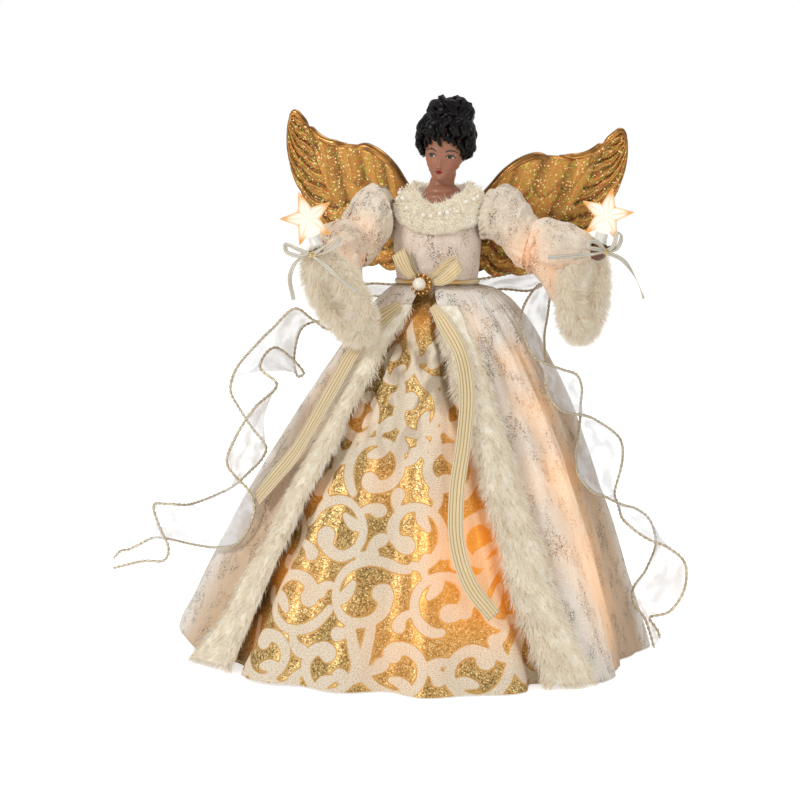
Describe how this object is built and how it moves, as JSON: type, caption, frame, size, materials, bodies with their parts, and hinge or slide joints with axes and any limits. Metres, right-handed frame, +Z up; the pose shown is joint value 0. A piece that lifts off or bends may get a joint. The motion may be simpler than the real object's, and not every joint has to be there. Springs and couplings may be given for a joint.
{
  "type": "fabric tree topper",
  "caption": "Lit angel doll in a long gathered coat over a hollow cone that drops on a tree's tip, with posable arms holding star lamps.",
  "frame": {"origin": "middle of the cone's open foot, on the plane of its bottom rim, where a tree's tip enters", "axes": "+Z up along the cone, -Y the way the doll faces, +X towards the side on a viewer's right"},
  "size_m": [0.3746, 0.2789, 0.3549],
  "materials": {
    "cone_card": "plain white card, slightly rough",
    "form_plastic": "moulded body form, hidden under the bodice",
    "doll_skin": "painted doll's face in warm brown, satin",
    "doll_hair": "glossy near-black doll hair in curls and a bun",
    "coat_cloth": "pale peach suede cloth with flecks of grey and gold foil",
    "brocade_cloth": "gold glitter cloth with raised ivory scrolls",
    "fur_trim": "long ivory pile with strands of gold tinsel",
    "collar_trim": "fuzzy ivory trim with pearls and gold thread",
    "ribbon_cloth": "ivory ribbon with gold stripes",
    "wrist_ribbon": "narrow silver and ivory ribbon",
    "pearl_plastic": "pearly lustre",
    "brooch_metal": "bright gold filigree with small stones",
    "organza_cloth": "sheer white cloth",
    "edge_cord": "twisted cord in gold and silver",
    "wing_gold": "gold with coarse glitter in many colours",
    "steel": "plain wire and screws",
    "socket_plastic": "white moulded lamp holder",
    "cable_rubber": "white insulated cable",
    "lamp_glass": "small clear lamp, lit warm white",
    "star_clear": "clear star cap, lit from inside"
  },
  "bodies": {
    "figure": {"cone_rim": "cone_card", "cone_lower": "cone_card", "cone_middle": "cone_card", "cone_upper": "cone_card", "torso_form": "form_plastic", "head": "doll_skin", "hair": "doll_hair", "bodice": "coat_cloth", "collar_trim": "collar_trim", "underskirt_left": "brocade_cloth", "underskirt_front": "brocade_cloth", "underskirt_right": "brocade_cloth", "underskirt_back": "brocade_cloth", "coat": "coat_cloth", "waistband": "ribbon_cloth", "brooch_setting": "brooch_metal", "brooch_pearl": "pearl_plastic", "shawl": "organza_cloth", "shawl_cord_lower": "edge_cord", "shawl_cord_upper": "edge_cord", "light_cable": "cable_rubber", "cable_clip": "socket_plastic", "skirt_socket_right": "socket_plastic", "skirt_bulb_right": "lamp_glass", "skirt_socket_front_right": "socket_plastic", "skirt_bulb_front_right": "lamp_glass", "skirt_socket_front_left": "socket_plastic", "skirt_bulb_front_left": "lamp_glass", "skirt_socket_left": "socket_plastic", "skirt_bulb_left": "lamp_glass", "fur_trim_left": "fur_trim", "bow_loop_left": "ribbon_cloth", "ribbon_tail_left": "ribbon_cloth", "wing_left": "wing_gold", "wing_screw_left": "steel", "puff_sleeve_left": "coat_cloth", "arm_wire_left": "steel", "fur_trim_right": "fur_trim", "bow_loop_right": "ribbon_cloth", "ribbon_tail_right": "ribbon_cloth", "wing_right": "wing_gold", "wing_screw_right": "steel", "puff_sleeve_right": "coat_cloth", "arm_wire_right": "steel"},
    "forearm_left": {"forearm_left": "doll_skin", "bell_sleeve_left": "coat_cloth", "fur_cuff_left": "fur_trim", "lamp_socket_left": "socket_plastic", "lamp_lead_left": "cable_rubber", "wrist_bow_left": "wrist_ribbon"},
    "bulb_left": {"bulb_left": "lamp_glass"},
    "star_left": {"star_cap_left": "star_clear"},
    "forearm_right": {"forearm_right": "doll_skin", "bell_sleeve_right": "coat_cloth", "fur_cuff_right": "fur_trim", "lamp_socket_right": "socket_plastic", "lamp_lead_right": "cable_rubber", "wrist_bow_right": "wrist_ribbon"},
    "bulb_right": {"bulb_right": "lamp_glass"},
    "star_right": {"star_cap_right": "star_clear"}
  },
  "joints": [
    {"name": "elbow_left", "type": "hinge", "parent": "figure", "child": "forearm_left", "pos_m": [-0.05, -0.028, 0.262], "axis": [-0.9671, 0.2545, 0], "range_deg": [-1, 16]},
    {"name": "bulb_pull_left", "type": "slide", "parent": "forearm_left", "child": "bulb_left", "axis": [-0.31, -0.07, 0.9481], "range_m": [0, 0.014]},
    {"name": "star_pull_left", "type": "slide", "parent": "bulb_left", "child": "star_left", "axis": [-0.31, -0.07, 0.9481], "range_m": [0, 0.025]},
    {"name": "elbow_right", "type": "hinge", "parent": "figure", "child": "forearm_right", "pos_m": [0.062, -0.004, 0.262], "axis": [-0.1829, -0.9831, 0], "range_deg": [-4, 16]},
    {"name": "bulb_pull_right", "type": "slide", "parent": "forearm_right", "child": "bulb_right", "axis": [0.2101, 0.05, 0.9764], "range_m": [0, 0.014]},
    {"name": "star_pull_right", "type": "slide", "parent": "bulb_right", "child": "star_right", "axis": [0.2101, 0.05, 0.9764], "range_m": [0, 0.025]}
  ]
}
